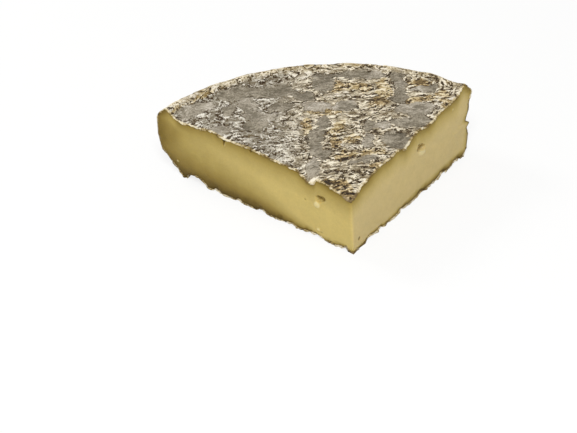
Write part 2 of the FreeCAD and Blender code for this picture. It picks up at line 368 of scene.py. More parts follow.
def markPush(tree, place, cut):
    # the small dents and knobs of one cut, as one push along its outward way
    reach = alongFrom(tree, place, cutWays[cut])
    height = heightOf(tree, place)
    spot = addNode(tree, "CombineXYZ", [reach, height])
    total = 0.0
    for markReach, markHeight, halfLength, halfHeight, push in pasteMarks[cut]:
        away = reachInOval(tree, spot, (markReach, markHeight), (halfLength, halfHeight))
        bump = addNode(tree, "MapRange", [away, *pasteSizes["mark"], push, 0.0], **smoothly)
        total = addNode(tree, "Math", [bump, total], operation="ADD")
    return total


def makePasteTree():
    tree, shape = newTree("pasteShape")
    place = toMillimetres(tree, addNode(tree, "GeometryNodeInputPosition"))
    across = addNode(tree, "GeometryNodeInputNormal").outputs[0]
    swell = knifeSwell(tree, place)
    cutPushes = []
    pit = 0.0
    for cut, face in cutFaces.items():
        near = nearCut(tree, place, face, pasteSizes["cutDepths"])
        toward = addNode(tree, "VectorMath", [across, face], operation="DOT_PRODUCT")
        taken = addNode(tree, "Math", [toward, near], operation="MULTIPLY")
        aside = addNode(tree, "VectorMath", {0: face, "Scale": taken}, operation="SCALE")
        across = addNode(tree, "VectorMath", [across, aside], operation="SUBTRACT").outputs[0]
        mark = markPush(tree, place, cut)
        pit = addNode(tree, "Math", [near, mark, pit], operation="MULTIPLY_ADD")
        push = addNode(tree, "Math", [swell, mark], operation="ADD")
        push = addNode(tree, "Math", [near, push], operation="MULTIPLY")
        cutPushes.append(addNode(tree, "VectorMath", {0: face, "Scale": push}, operation="SCALE"))
    # what isn't a cut lies a little under the rind
    left = addNode(tree, "VectorMath", [across], operation="LENGTH")
    skin = addNode(tree, "MapRange", [left, *pasteSizes["skin"]], **smoothly)
    upright = heightOf(tree, across)
    depths = (-pasteSizes["besideRind"], -pasteSizes["underRind"])
    depth = addNode(tree, "MapRange", [upright, *pasteSizes["topFacing"], *depths], **smoothly)
    depth = addNode(tree, "Math", [skin, depth], operation="MULTIPLY")
    unit = addNode(tree, "VectorMath", [across], operation="NORMALIZE")
    under = addNode(tree, "VectorMath", {0: unit, "Scale": depth}, operation="SCALE")
    lift = addNode(tree, "CombineXYZ", {"Z": topRise(tree, place)})
    for name, value, kind in (("rest", place, "FLOAT_VECTOR"), ("pit", pit, "FLOAT")):
        shape = addNode(tree, "GeometryNodeStoreNamedAttribute", {0: shape, "Name": name, "Value": value},
                        data_type=kind)
    movePoints(tree, shape, [under, lift, heelPush(tree, place)] + cutPushes)
    return tree


def makePaste():
    paste = copyCheese("paste")
    applyModifier(paste, "REMESH", mode="VOXEL", voxel_size=pasteSizes["voxel"] * mm)
    applyModifier(paste, "NODES", node_group=makePasteTree())
    bpy.ops.object.shade_smooth()
    print("paste shaped,", countTriangles(paste), "triangles")
    return paste


# patches of the mould, each an oval: middle x and y, half length, half width, turn.
# A later kind grows over the ones before it.
mouldPatches = {
    "ochre": [
        (18, 30, 6, 3.4, 0), (34.5, 25, 3.4, 8.5, 0), (15.5, -13.5, 3.4, 3, 0), (24, -25, 5.5, 2.4, -8),
        (5, 10.5, 8, 2.2, -10), (-5, -2, 2.2, 5, 0), (52, 26, 5, 1.6, -20), (30, 43, 9, 1.8, -15),
        (-58, 30, 15, 2.2, 38), (10, -3, 3, 6, -30), (13, -24, 4, 3, 0),
    ],
    "umber": [
        (12, 31, 3, 5, 0), (25, 29, 3, 3.4, 0), (31, 15, 5, 4.4, 0), (8, -15, 2.6, 6, 8),
        (10, -26, 5, 2.6, 0), (25, -36, 3, 2.2, 0), (6, -45, 6, 2.6, -10), (50, 13, 10, 2.4, 2),
        (51, 27, 6, 2, -18), (-5, 4, 2.6, 4, 0), (10, -51, 4, 3, 0), (62, 8, 4, 3, -20),
        (62, 16, 3, 3, 0),
    ],
    "ivory": [
        (-5, 43, 6, 2.6, 0), (14, -18.5, 4, 2, 0), (-11, 6, 3, 5, 0), (-62, 28, 8, 2, 36),
        (-44, 40, 9, 2.2, 24), (-24, 46, 8, 2, 8), (31, 42, 7, 1.6, -14), (66, 12, 2.4, 1.8, 0),
        (33, -25, 2, 2, 0), (-33, 16, 3, 4, 0), (11, 24, 7, 1.8, 0), (45, -2, 1.4, 4, 35),
        (57, 9, 3, 1.6, 0),
    ],
    "downy": [
        (14, 14, 6, 3.6, 8), (48, 6, 9, 4.4, -6), (42, 28, 2.8, 4, 0), (52, 22, 5, 2.4, -10),
        (1, 16, 6, 3.6, -8), (-32, 22, 4.4, 7, 10), (-57, 22, 8.5, 4.6, 25), (31, -4.5, 3.4, 3, -20),
        (16, -31, 3.4, 1.8, 0), (-3, -31, 3, 4, 0), (-27, 12, 8, 3.4, -10), (31, 38, 5, 2.4, -15),
        (23, -16, 2.6, 5.5, 0), (-47, 2, 5, 5, -40),
    ],
    "felt": [
        (-38, 33, 9, 5, 8), (-21, 31, 13, 4.5, -8), (5, 36, 5, 7.5, 8), (19, 40, 9, 2.8, -6),
        (41, 35, 3.2, 3.6, 0), (41.5, 18, 3, 7, 0), (25, -4.5, 3.2, 3.8, 0), (43, -5, 8, 3.4, -14),
        (36, -17, 5.5, 6, 20), (3, 2, 2.6, 6, -8), (-0.5, -9, 3.8, 6, -15), (-1.5, -18, 3, 6, 0),
        (1, -24, 3.4, 3, 0), (-16, 18, 5.4, 3.4, 0), (-42, 19, 3.2, 4.6, 0), (-5, 25, 5, 4, -20),
        (-29, 4, 6, 4.4, -10), (22, -30, 4.5, 2, 0), (-4, -35, 3, 4, 0), (-14, 33, 5, 3, -10),
        (50, -1, 5, 3, -20), (55, 22, 4, 2, 0),
    ],
}
patchLook = {"frayLength": 5.0, "frayBy": (8, 8, 0), "fade": (0.6, 1.5, 1.0, 0.0)}


def patchMask(tree, place, kind):
    # the ovals of one kind, their outlines frayed, joined into one mask
    fray = addNode(tree, "TexNoise", {
        "Vector": place, "Scale": 1 / patchLook["frayLength"], "Detail": 3.0})
    bend = addNode(tree, "VectorMath", [fray.outputs["Color"], noiseMiddle], operation="SUBTRACT")
    frayed = addNode(tree, "VectorMath", [bend, patchLook["frayBy"], place], operation="MULTIPLY_ADD")
    mask = 0.0
    for x, y, halfLength, halfWidth, turn in mouldPatches[kind]:
        turned = addNode(tree, "VectorRotate", {
            "Vector": frayed, "Center": (x, y, 0), "Angle": math.radians(-turn)}, rotation_type="Z_AXIS")
        reach = reachInOval(tree, turned, (x, y), (halfLength, halfWidth))
        inside = addNode(tree, "MapRange", [reach, *patchLook["fade"]])
        mask = addNode(tree, "Math", [inside, mask], operation="MAXIMUM")
    return mask


# the crust's noises: the space they lie in, size, detail, roughness, distortion. A place is a point of the
# cheese, a spot is the same but laid out along the rim there, and drawn is bent and stretched.
crustNoises = {
    "fine": ("place", 0.8, 3.0, 0.65, 0.0),
    "cloud": ("place", 9.0, 4.0, 0.5, 0.0),
    "cluster": ("spot", 6.5, 2.0, 0.5, 0.0),
    "folds": ("drawn", 5.0, 4.0, 0.5, 0.6),
    "seams": ("drawn", 2.8, 3.0, 0.6, 0.8),
}

# the crust's other sizes, and where along each of its patterns the parts lie
crustLook = {
    "bend": 7.0,
    "bendBy": (6, 4.5, 5),
    "stroke": 1.5,
    "flake": 1.9,
    "rimStart": 101.0,
    "rimFray": 7.0,
    "barkStart": (-22.0, 4.0),
    "barkFray": 24.0,
    "stretch": 0.42,
    "layers": 5.4,
    "grainInLayers": 0.4,
    "foot": ((0.0, 0.04), (0.12, 0.28)),
    "lip": ((0.2, 0.3), (0.32, 0.6)),
    "climb": (0.05, 0.35),
    "barkBreaks": 0.12,
    "broken": (0.42, 0.56),
    "strokeShapes": ((0.95, 0.7, 1), (0.36, 1, 1)),  # on the calm skin, on the bark
    "split": (0.56, 0.645),
    "curl": (0.56, 0.68),
    "curlShift": -0.75,
    "fissure": 0.04,
    "shut": (0.6, 0.42),
}


def crust(tree, place):
    # the crinkled skin of the mould: folds drawn out along X, or along the rim, that break into thin layers
    look = {"place": place}
    fromMiddle = addNode(tree, "VectorMath", [place, wheelMiddle / mm], operation="SUBTRACT")
    parts = addNode(tree, "SeparateXYZ", [fromMiddle])
    angle = addNode(tree, "Math", [parts.outputs["Y"], parts.outputs["X"]], operation="ARCTAN2")
    around = addNode(tree, "Math", [angle, cutPlan["wheelRadius"]], operation="MULTIPLY")
    plan = addNode(tree, "CombineXYZ", [parts.outputs["X"], parts.outputs["Y"]])
    look["out"] = addNode(tree, "VectorMath", [plan], operation="LENGTH")
    along = addNode(tree, "CombineXYZ", [around, look["out"], parts.outputs["Z"]])
    bends = addNode(tree, "TexNoise", {"Vector": place, "Scale": 1 / crustLook["bend"], "Detail": 3.0})
    bend = addNode(tree, "VectorMath", [bends.outputs["Color"], noiseMiddle], operation="SUBTRACT")
    edge = addShares(tree, 0.0, [(bends, 0.5, crustLook["rimFray"]), (look["out"], 0.0, 1.0)])
    rim = addNode(tree, "Math", [edge, crustLook["rimStart"]], operation="GREATER_THAN")
    look["spot"] = addNode(tree, "Mix", {0: rim, 4: place, 5: along}, data_type="VECTOR")
    bent = addNode(tree, "VectorMath", [bend, crustLook["bendBy"], look["spot"]], operation="MULTIPLY_ADD")
    look["drawn"] = addNode(tree, "VectorMath", [bent, (crustLook["stretch"], 1, 1)], operation="MULTIPLY")
    for name, (space, size, detail, roughness, distortion) in crustNoises.items():
        look[name] = addNode(tree, "TexNoise", {
            "Vector": look[space], "Scale": 1 / size, "Detail": detail, "Roughness": roughness,
            "Distortion": distortion})
    # towards the left the skin is a calmer, mottled grey; towards the right it is like bark
    side = addShares(tree, 0.0, [(parts.outputs["X"], 0.0, 1.0), (bends, 0.5, crustLook["barkFray"])])
    look["bark"] = addNode(tree, "MapRange", [side, *crustLook["barkStart"]], **smoothly)
    rise = addShares(tree, 0.0, [("folds", 0.0, crustLook["layers"]),
                                 ("fine", 0.5, crustLook["grainInLayers"])], look)
    step = addNode(tree, "Math", [rise], operation="FRACT")
    layer = addNode(tree, "Math", [rise], operation="FLOOR")
    climb = addNode(tree, "MapRange", [step, *crustLook["climb"]], **smoothly)
    look["climb"] = addNode(tree, "Math", [layer, climb], operation="ADD")
    opened = addShares(tree, 0.0, [("bark", 0.0, crustLook["barkBreaks"]), ("cluster", 0.0, 1.0)], look)
    broken = addNode(tree, "MapRange", [opened, *crustLook["broken"]], **smoothly)
    # each layer has a thin foot, a broken edge above it and then a flat back; in the rind's colour the foot
    # is painted shade and the edge painted highlight
    for name in ("foot", "lip"):
        start, end = crustLook[name]
        band = addNode(tree, "MapRange", [step, *end, 1.0, 0.0], **smoothly)
        start = addNode(tree, "MapRange", [step, *start], **smoothly)
        band = addNode(tree, "Math", [band, start], operation="MULTIPLY")
        look[name] = addNode(tree, "Math", [band, broken], operation="MULTIPLY")
    # short strokes where the skin split, each with a raised edge behind it, on the side that faces the key
    # lamp; in the rind's colour the splits are painted shade and the raised edges painted highlight
    for name, shift in (("split", 0.0), ("curl", crustLook["curlShift"])):
        pair = []
        for shape in crustLook["strokeShapes"]:
            spread = addNode(tree, "VectorMath", [bent, shape, (0, shift, 0)], operation="MULTIPLY_ADD")
            pair.append(addNode(tree, "TexNoise", {
                "Vector": spread, "Scale": 1 / crustLook["stroke"], "Detail": 1.5, "Distortion": 0.5}))
        strokes = addNode(tree, "Mix", {0: look["bark"], 2: pair[0], 3: pair[1]})
        look[name] = addNode(tree, "MapRange", [strokes, *crustLook[name]], **smoothly)
    # thin cracks run between the clusters, where the skin isn't broken up anyway; in the rind's colour they
    # are painted shade
    fissure = ridge(tree, 0.0, [(look["seams"], 0.5, 1.0)], crustLook["fissure"], 1.0)
    shut = addNode(tree, "MapRange", [look["cluster"], *crustLook["shut"]], **smoothly)
    look["fissure"] = addNode(tree, "Math", [fissure, shut], operation="MULTIPLY")
    flakes = addNode(tree, "TexVoronoi", {
        "Vector": look["drawn"], "Scale": 1 / crustLook["flake"], "Smoothness": 0.3}, feature="SMOOTH_F1")
    look["tone"] = addNode(tree, "SeparateXYZ", [flakes.outputs["Color"]]).outputs[0]
    return look


rindSizes = {
    "voxel": 0.4,
    "thickness": 1.3,
    "sideThickness": 0.5,
    "cutBack": 0.4,
    "smallest": 0.08,  # shorter edges are merged
    "shell": 0.02,  # the skin before it grows
    "patchHeights": (26.0, 30.0),
    "triangles": 192000,
}

# how the skin grows, in millimetres; a facing is 1 upwards, 0 sideways and -1 downwards
growthLook = {
    "start": 0.15,
    "crust": [("climb", 3.1, 0.5), ("tone", 0.5, 0.25), ("seams", 0.5, 0.9), ("fissure", 0.0, -0.3),
              ("foot", 0.0, -0.3), ("split", 0.0, -0.35), ("curl", 0.0, 0.25), ("fine", 0.5, 0.4)],
    "felt": [("fine", 0.5, 0.18), ("cloud", 0.5, 1.6)],
    "feltEdge": (0.35, 0.65),
    "lowest": -0.55,
    "highest": 0.9,
    "onTop": (0.1, 0.5, 0.45, 1.0),
    "overRim": (100.0, 106.0, 1.0, 0.3),
    "baseLimit": (-0.5, -0.2, 0.0, 9.0),
    "topFacing": (0.4, 0.8),
    "tornLength": 2.6,
    "thin": (0.36, 0.62, 0.45, 1.15),
    "ragged": (0.38, 0.72, 0.3, 1.0),
    "raggedOnTop": (0.4, 0.8, 0.3, 1.0),
    "innerBack": -0.3,  # the inner face stays this far back from the cut
    "cutDepth": -1.6,
}


def makeRestTree():
    # keeps where the skin lay, which way it faced and what grows on it
    tree, shape = newTree("rindRest")
    place = toMillimetres(tree, addNode(tree, "GeometryNodeInputPosition"))
    facing = addNode(tree, "GeometryNodeInputNormal")
    height = heightOf(tree, place)
    top = addNode(tree, "MapRange", [height, *rindSizes["patchHeights"]], **smoothly)
    stored = [("rest", place, "FLOAT_VECTOR"), ("skinNormal", facing, "FLOAT_VECTOR")]
    for kind in mouldPatches:
        mask = addNode(tree, "Math", [patchMask(tree, place, kind), top], operation="MULTIPLY")
        stored.append((kind, mask, "FLOAT"))
    for name, value, kind in stored:
        shape = addNode(tree, "GeometryNodeStoreNamedAttribute", {0: shape, "Name": name, "Value": value},
                        data_type=kind)
    addNode(tree, "NodeGroupOutput", [shape])
    return tree


def makeGrowthTree():
    tree, shape = newTree("rindGrowth")
    place, facing, inner, felt, downy = [
        addNode(tree, "GeometryNodeInputNamedAttribute", {"Name": name}, data_type=kind) for name, kind in (
            ("rest", "FLOAT_VECTOR"), ("skinNormal", "FLOAT_VECTOR"), ("inner", "FLOAT"), ("felt", "FLOAT"),
            ("downy", "FLOAT"))]
    upright = heightOf(tree, facing)
    steep = addNode(tree, "Math", [upright], operation="ABSOLUTE")
    look = crust(tree, place)
    rough = addShares(tree, growthLook["start"], growthLook["crust"], look)
    # the felt lies calm over all this, in soft swells
    smooth = addShares(tree, growthLook["start"], growthLook["felt"], look)
    calm = addNode(tree, "Math", [felt, downy], operation="MAXIMUM")
    calm = addNode(tree, "MapRange", [calm, *growthLook["feltEdge"]], **smoothly)
    relief = addNode(tree, "Mix", {0: calm, 2: rough, 3: smooth})
    relief = addNode(tree, "Math", [relief, growthLook["lowest"]], operation="MAXIMUM")
    relief = addNode(tree, "Math", [relief, growthLook["highest"]], operation="MINIMUM")
    # the side and the base carry a thinner, calmer skin, and the base never sinks under the table
    for value, name in ((upright, "onTop"), (look["out"], "overRim")):
        share = addNode(tree, "MapRange", [value, *growthLook[name]], **smoothly)
        relief = addNode(tree, "Math", [relief, share], operation="MULTIPLY")
    limit = addNode(tree, "MapRange", [upright, *growthLook["baseLimit"]], **smoothly)
    lifted = addNode(tree, "Math", [relief, limit], operation="MINIMUM")
    # the skin isn't equally thick where the knife shows it
    torn = addNode(tree, "TexNoise", {
        "Vector": place, "Scale": 1 / growthLook["tornLength"], "Detail": 3.0, "Roughness": 0.65})
    thin = addNode(tree, "MapRange", [torn, *growthLook["thin"]], **smoothly)
    depths = (-rindSizes["sideThickness"], -rindSizes["thickness"])
    depth = addNode(tree, "MapRange", [upright, *growthLook["topFacing"], *depths], **smoothly)
    depth = addNode(tree, "Math", [depth, thin], operation="MULTIPLY")
    outward = addNode(tree, "Mix", {0: inner, 2: lifted, 3: depth})
    grow = addNode(tree, "VectorMath", {0: facing, "Scale": outward}, operation="SCALE")
    lift = addNode(tree, "CombineXYZ", {"Z": topRise(tree, place)})
    hang = addNode(tree, "VectorMath", {
        0: cutFaces["left"] * tongueSizes["out"], "Scale": tongueShare(tree, place)}, operation="SCALE")
    pushes = [grow, lift, heelPush(tree, place), hang]
    # the cut edge is ragged: it stands out of the paste here and there
    ragged = addNode(tree, "MapRange", [torn, *growthLook["ragged"]], **smoothly)
    onFlat = addNode(tree, "MapRange", [steep, *growthLook["raggedOnTop"]], **smoothly)
    ragged = addNode(tree, "Math", [ragged, onFlat], operation="MULTIPLY")
    out = addNode(tree, "Mix", {0: inner, 2: ragged, 3: growthLook["innerBack"]})
    out = addShares(tree, rindSizes["cutBack"], [(out, 0.0, 1.0), (knifeSwell(tree, place), 0.0, 1.0)])
    for face in cutFaces.values():
        near = nearCut(tree, place, face, (growthLook["cutDepth"], -rindSizes["cutBack"]))
        near = addNode(tree, "Math", [out, near], operation="MULTIPLY")
        pushes.append(addNode(tree, "VectorMath", {0: face, "Scale": near}, operation="SCALE"))
    movePoints(tree, shape, pushes)
    return tree


def makeRind():
    rind = copyCheese("rind")
    applyModifier(rind, "REMESH", mode="VOXEL", voxel_size=rindSizes["voxel"] * mm)
    bpy.ops.object.mode_set(mode="EDIT")
    for face in cutFaces.values():
        bpy.ops.mesh.select_all(action="SELECT")
        bpy.ops.mesh.bisect(plane_co=tip - face * rindSizes["cutBack"] * mm, plane_no=face,
                            clear_outer=True)
    bpy.ops.object.mode_set(mode="OBJECT")
    keepJoined(rind)  # what is left of the eyes in the paste goes
    mergeClose(rind, rindSizes["smallest"])
    bpy.ops.object.shade_smooth()
    applyModifier(rind, "NODES", node_group=makeRestTree())
    rind.vertex_groups.new(name="inner")
    applyModifier(rind, "SOLIDIFY", thickness=rindSizes["shell"] * mm, offset=-1,
                  shell_vertex_group="inner")
    applyModifier(rind, "NODES", node_group=makeGrowthTree())
    triangles = countTriangles(rind)
    print("rind grown,", triangles, "triangles")
    applyModifier(rind, "DECIMATE", ratio=min(1.0, rindSizes["triangles"] / triangles),
                  use_collapse_triangulate=True)
    keepJoined(rind)
    print("rind thinned to", countTriangles(rind), "triangles")
    return rind


def setStops(node, codes, places):
    # the colours of a ramp, dark to light
    stops = node.color_ramp.elements
    while len(stops) < len(codes):
        stops.new(1.0)
    for stop, code, place in zip(stops, codes, places):
        stop.position = place
        stop.color = hexColor(code)


# colours of each growth, dark to light, and where they lie
mouldColors = {
    "ash": (["#33220a", "#5c4a2b", "#7d7461", "#979080", "#bcb5a6", "#e6e0d2"],
            [0.04, 0.2, 0.4, 0.55, 0.75, 0.95]),
    "skin": (["#2e1f08", "#5a4524", "#867a60", "#a69a82", "#c9bca1", "#ece3ce"],
             [0.04, 0.2, 0.4, 0.55, 0.76, 0.98]),
    "ochre": (["#33240e", "#654d26", "#927c4e", "#b19d72", "#cfbf99", "#e9dcc0"],
              [0.04, 0.2, 0.4, 0.55, 0.76, 0.98]),
    "umber": (["#2a1d0c", "#4d3b1f", "#75603a", "#9a8358", "#c4ae82", "#e6d8b6"],
              [0.04, 0.22, 0.42, 0.6, 0.8, 1.0]),
    "ivory": (["#43361f", "#7f735b", "#a99d86", "#c9bfab", "#e8e0d0"], [0.04, 0.22, 0.4, 0.6, 0.9]),
    "felt": (["#5d5545", "#746b59", "#8a816f", "#a69d8b"], [0.28, 0.42, 0.56, 0.74]),
    "downy": (["#6e6655", "#877e6d", "#9f9685", "#c6bdae"], [0.25, 0.4, 0.56, 0.78]),
    "rim": (["#3f2f16", "#86703f", "#b7a37b", "#d6c8a8", "#efe6d0"], [0.04, 0.24, 0.42, 0.6, 0.9]),
    "side": (["#2b200e", "#4f3f20", "#75633c", "#968458", "#bba97c"], [0.1, 0.3, 0.5, 0.7, 0.95]),
    "cut": (["#715b2c", "#c3ae7c", "#ebdfc1"], [0.33, 0.49, 0.68]),
}

# how light the mould is, which of its colours goes where, and its finish
mouldLook = {
    "start": 0.525,
    "drift": (0.0, 1.0, 0.85, 0.95),
    # the level of the skin: its own tone and grain, with painted shade in the feet, splits and cracks and
    # painted highlight on the lips and curls
    "crust": [("drift", 0.0, 1.0), ("tone", 0.5, 0.27), ("fine", 0.5, 1.0), ("fissure", 0.0, -0.45),
              ("foot", 0.0, -0.75), ("lip", 0.0, 0.42), ("split", 0.0, -0.6), ("curl", 0.0, 0.46)],
    "ragged": [("fine", 0.5, 0.7), ("seams", 0.5, 0.7), ("level", 0.5, -0.12)],
    "feltTorn": (0.4, 0.54),
    "feltCrackShade": (0.42, 0.12, -0.62),  # middle, half width, share
    "feltLipHighlight": (0.2, 0.15, 0.3),
    "hazeStart": 0.53,
    "haze": [("cloud", 0.5, 1.0), ("fine", 0.5, 0.7), ("seams", 0.5, 0.4), ("level", 0.53, 0.2)],
    "growthEdge": (0.38, 0.6),
    "rimBand": (99.5, 103.5),
    "rimWorn": (0.36, 0.54, 0.25, 0.85),
    "rimStreak": (0.48, 0.62, 0.0, 0.8),
    "sideHeights": (24.0, 32.0, 0.8, 0.0),
    "cutStart": 0.5,
    "cut": [("fine", 0.5, 0.9), ("seams", 0.5, 1.4), ("cluster", 0.5, 1.1)],
    "cutDepths": (-1.2, -0.75),
    "sideCutHeights": (2.5, 6.0, 0.2, 1.0),
    "sideCutColor": "#7a6536",
    "tipReach": (3.0, 8.0, 0.7, 0.0),
    "tipCutColor": "#6b5635",
    "grain": 0.5,
    "grainHeight": 0.25,
    "roughness": 0.88,
}


def mouldRind():
    # dry mould skin, brushed and ripened on straw: dull and powdery, grey felt over a crackled beige bark
    material, tree = newMaterial("mouldRind")
    place = addNode(tree, "Attribute", attribute_name="rest").outputs["Vector"]
    look = crust(tree, place)
    grown = {kind: addNode(tree, "Attribute", attribute_name=kind).outputs["Fac"] for kind in mouldPatches}
    height = heightOf(tree, place)
    swing = addNode(tree, "MapRange", [look["bark"], *mouldLook["drift"]])
    drift = addShares(tree, 0.0, [(look["seams"], 0.5, 1.0)])
    look["drift"] = addNode(tree, "Math", [drift, swing], operation="MULTIPLY")
    look["level"] = addShares(tree, mouldLook["start"], mouldLook["crust"], look)
    # every growth ends in a ragged line that follows the crust under it
    ragged = addShares(tree, 0.0, mouldLook["ragged"], look)
    # around the felt the skin looks torn: a dark line of painted shade as in a crack, and beyond it a pale
    # lip of painted highlight
    calm = addNode(tree, "Math", [grown["felt"], grown["downy"]], operation="MAXIMUM")
    torn = addNode(tree, "MapRange", [look["cluster"], *mouldLook["feltTorn"]], **smoothly)
    for middle, half, share in (mouldLook["feltCrackShade"], mouldLook["feltLipHighlight"]):
        line = ridge(tree, -middle, [(calm, 0.0, 1.0), (ragged, 0.0, 1.0)], half, share)
        look["level"] = addNode(tree, "Math", [line, torn, look["level"]], operation="MULTIPLY_ADD")
    haze = addShares(tree, mouldLook["hazeStart"], mouldLook["haze"], look)
    cutLevel = addShares(tree, mouldLook["cutStart"], mouldLook["cut"], look)
    ramps = {}
    for name, (codes, places) in mouldColors.items():
        follows = {"felt": haze, "downy": haze, "cut": cutLevel}.get(name, look["level"])
        ramps[name] = addNode(tree, "ValToRGB", [follows])
        setStops(ramps[name], codes, places)
    color = addNode(tree, "Mix", {0: look["bark"], 6: ramps["ash"], 7: ramps["skin"]}, data_type="RGBA")
    for kind in mouldPatches:
        sharp = addNode(tree, "Math", [grown[kind], ragged], operation="ADD")
        sharp = addNode(tree, "MapRange", [sharp, *mouldLook["growthEdge"]], **smoothly)
        color = addNode(tree, "Mix", {0: sharp, 6: color, 7: ramps[kind]}, data_type="RGBA")
    # a band along the rim was rubbed down to the cream skin
    band = addNode(tree, "MapRange", [look["out"], *mouldLook["rimBand"]], **smoothly)
    worn = addNode(tree, "MapRange", [look["cloud"], *mouldLook["rimWorn"]], **smoothly)
    band = addNode(tree, "Math", [band, worn], operation="MULTIPLY")
    streak = addNode(tree, "MapRange", [look["cluster"], *mouldLook["rimStreak"]], **smoothly)
    rim = addNode(tree, "Mix", {0: streak, 6: ramps["rim"], 7: ramps["ochre"]}, data_type="RGBA")
    color = addNode(tree, "Mix", {0: band, 6: color, 7: rim}, data_type="RGBA")
    # the skin of the side and of the base is thinner and browner
    side = addNode(tree, "MapRange", [height, *mouldLook["sideHeights"]], **smoothly)
    color = addNode(tree, "Mix", {0: side, 6: color, 7: ramps["side"]}, data_type="RGBA")
    # where the knife went through it the skin shows pale, but olive brown on the side and at the tip
    onSide = addNode(tree, "MapRange", [height, *mouldLook["sideCutHeights"]], **smoothly)
    onSide = addNode(tree, "Math", [onSide, side], operation="MULTIPLY")
    fromTip = addNode(tree, "VectorMath", [place, noHeight, -tip / mm], operation="MULTIPLY_ADD")
    fromTip = addNode(tree, "VectorMath", [fromTip], operation="LENGTH")
    atTip = addNode(tree, "MapRange", [fromTip, *mouldLook["tipReach"]], **smoothly)
    edge = ramps["cut"]
    for share, code in ((onSide, mouldLook["sideCutColor"]), (atTip, mouldLook["tipCutColor"])):
        edge = addNode(tree, "Mix", {0: share, 6: edge, 7: hexColor(code)}, data_type="RGBA")
    for face in cutFaces.values():
        cut = nearCut(tree, place, face, mouldLook["cutDepths"])
        color = addNode(tree, "Mix", {0: cut, 6: color, 7: edge}, data_type="RGBA")
    # the powdery grain and the finest cracks, too small for the mesh
    grain = addNode(tree, "Bump", {
        "Height": look["level"], "Strength": mouldLook["grain"], "Distance": mouldLook["grainHeight"] * mm})
    shader = addNode(tree, "BsdfPrincipled", {
        "Base Color": color, "Roughness": mouldLook["roughness"], "Normal": grain})
    addNode(tree, "OutputMaterial", [shader])
    return material


# colours of the paste from the rind inwards, how deep the ripening went, and the finish
pasteLook = {
    "colors": ["#564410", "#6f5a1f", "#8f7939", "#ab9653", "#baa563", "#c7b26d"],
    "places": [0.0, 0.1, 0.24, 0.44, 0.7, 1.0],
    "rightColor": "#c5b17b",
    "rightSide": (-1.0, 1.5),
    "rightDepths": (0.3, 0.95),
    # painted shade in the dents and painted highlight on the knobs
    "eyes": (-0.08, -0.55, 0.0, 0.85, "#6f5820"),
    "knobs": (0.15, 0.6, 0.0, 0.45, "#e9dcae"),
    "depth": 16.0,
    "driftLength": 12.0,
    "drift": 0.19,
    "curdLength": 0.9,
    "curd": 0.22,
    "mottleLength": 4.0,
    "mottle": 0.16,
    "drag": [("curd", 0.5, 1.0), ("mottle", 0.5, 1.5)],
    "roughness": 0.6,
    "gloss": 0.15,
    "grain": 0.35,
    "grainHeight": 0.3,
    "light": 0.25,  # how much light goes in, how far it goes, and how far each colour of it
    "lightReach": 4.0,
    "lightColors": (1.0, 0.8, 0.4),
}

# what changes the ripening from place to place: what it follows, then from, to and the values at both ends
ripening = {
    "sag": ("fromTip", 0.0, 26.0, 3.2, 0.0),
    "crest": ("out", 96.0, 103.0, 0.0, 3.6),
    "right": ("x", -25.0, 20.0, 0.0, 1.0),
    "below": ("z", 36.0, 28.0, 0.0, 1.0),
    # beyond raises the darker band along the base away from the tip, partly painted shade
    "beyond": ("fromTip", 10.0, 62.0, 0.0, 1.0),
}

# how deep a place lies under the top, the side and the base: a start and its named shares
ripeDepths = {
    "top": (36.8, [("out", 0.0, 0.0206), ("x", 0.0, 0.0175), ("z", 0.0, -1.0), ("sag", 0.0, -1.0),
                   ("crest", 0.0, 1.0)]),
    "footShare": (1.0, [("right", 0.0, -0.42)]),
    "shoulder": (0.0, [("z", 32.0, 1.15), ("right", 0.0, -2.3)]),
    "side": (cutPlan["wheelRadius"], [("out", 0.0, -1.0), ("footIn", 0.0, -1.0), ("waist", 0.0, -1.0),
                                      ("shoulder", 0.0, -1.0)]),
    "sideShare": (0.76, [("below", 0.0, -0.46), ("belowRight", 0.0, 2.2)]),
    "sideStart": (1.3, [("below", 0.0, 0.5), ("right", 0.0, 1.5)]),
    "baseShare": (0.0, [("baseFall", 0.0, 1.0), ("right", 0.0, 1.9)]),
    "base": (0.0, [("z", 0.0, 1.0), ("beyond", 0.0, -0.7)]),
}
ripeSizes = {
    "footIn": (0.0, 15.5, 13.0, 0.0),
    "waist": (21.0, 11.0, 4.0),  # height, half height, how much deeper
    "baseFall": 33.0,
    "baseFrom": 12.0,
    "baseNearest": 8.0,
    "sideBlend": 4.0,
    "baseBlend": 3.0,
}


